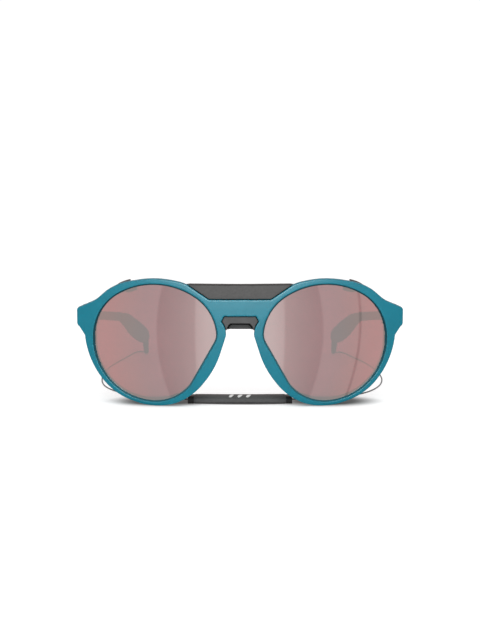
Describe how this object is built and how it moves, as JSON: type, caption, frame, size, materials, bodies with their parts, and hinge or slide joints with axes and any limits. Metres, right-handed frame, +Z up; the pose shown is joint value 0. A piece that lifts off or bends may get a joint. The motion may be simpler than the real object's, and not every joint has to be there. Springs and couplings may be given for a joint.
{
  "type": "glacier glasses",
  "caption": "Round mirrored mountain sunglasses with a one-piece front, bridge and side shields, folding temples with rubber ear socks and a neck leash.",
  "frame": {"origin": "on the floor, under the middle of the glasses' box with the leash left out", "axes": "+X towards the wearer's left, +Y from the front towards the temple tips, +Z up"},
  "size_m": [0.148, 0.1587, 0.0572],
  "materials": {
    "frame_teal": "fine matt moulded nylon, deep teal",
    "lens_mirror": "polished, rose brown with a pale silver mirror coating",
    "shield_rubber": "matt soft-touch dark grey",
    "nose_saddle_plastic": "matt dark grey",
    "nose_pad_rubber": "matt soft dark grey",
    "hinge_steel": "stamped and polished stainless steel",
    "screw_steel": "turned stainless steel",
    "core_steel": "drawn wire",
    "sock_rubber": "matt soft grey",
    "boot_rubber": "matt black",
    "band_rubber": "matt dark grey, softly rounded",
    "ferrule_plastic": "matt black",
    "cord_fabric": "thin braided cord, dark grey"
  },
  "bodies": {
    "front": {"bridge_shield": "shield_rubber", "front_frame": "frame_teal", "hinge_front_left": "hinge_steel", "hinge_front_right": "hinge_steel", "hinge_screw_left": "screw_steel", "hinge_screw_right": "screw_steel", "hinge_screws_front_left": "screw_steel", "hinge_screws_front_right": "screw_steel", "leash_band": "band_rubber", "leash_cord_left": "cord_fabric", "leash_cord_right": "cord_fabric", "leash_ferrule_left": "ferrule_plastic", "leash_ferrule_right": "ferrule_plastic", "lens_left": "lens_mirror", "lens_right": "lens_mirror", "nose_pad_left": "nose_pad_rubber", "nose_pad_right": "nose_pad_rubber", "nose_saddle": "nose_saddle_plastic", "side_shield_left": "shield_rubber", "side_shield_right": "shield_rubber"},
    "temple_left": {"ear_sock_left": "sock_rubber", "hinge_screws_temple_left": "screw_steel", "hinge_temple_left": "hinge_steel", "leash_boot_left": "boot_rubber", "temple_arm_left": "frame_teal", "temple_core_left": "core_steel"},
    "temple_right": {"ear_sock_right": "sock_rubber", "hinge_screws_temple_right": "screw_steel", "hinge_temple_right": "hinge_steel", "leash_boot_right": "boot_rubber", "temple_arm_right": "frame_teal", "temple_core_right": "core_steel"}
  },
  "joints": [
    {"name": "temple_left_hinge", "type": "hinge", "parent": "front", "child": "temple_left", "pos_m": [0.066, -0.0512, 0.0381], "axis": [0, 0.061, 0.9981], "range_deg": [0, 74]},
    {"name": "temple_right_hinge", "type": "hinge", "parent": "front", "child": "temple_right", "pos_m": [-0.066, -0.0512, 0.0381], "axis": [0, -0.061, -0.9981], "range_deg": [0, 80]}
  ]
}
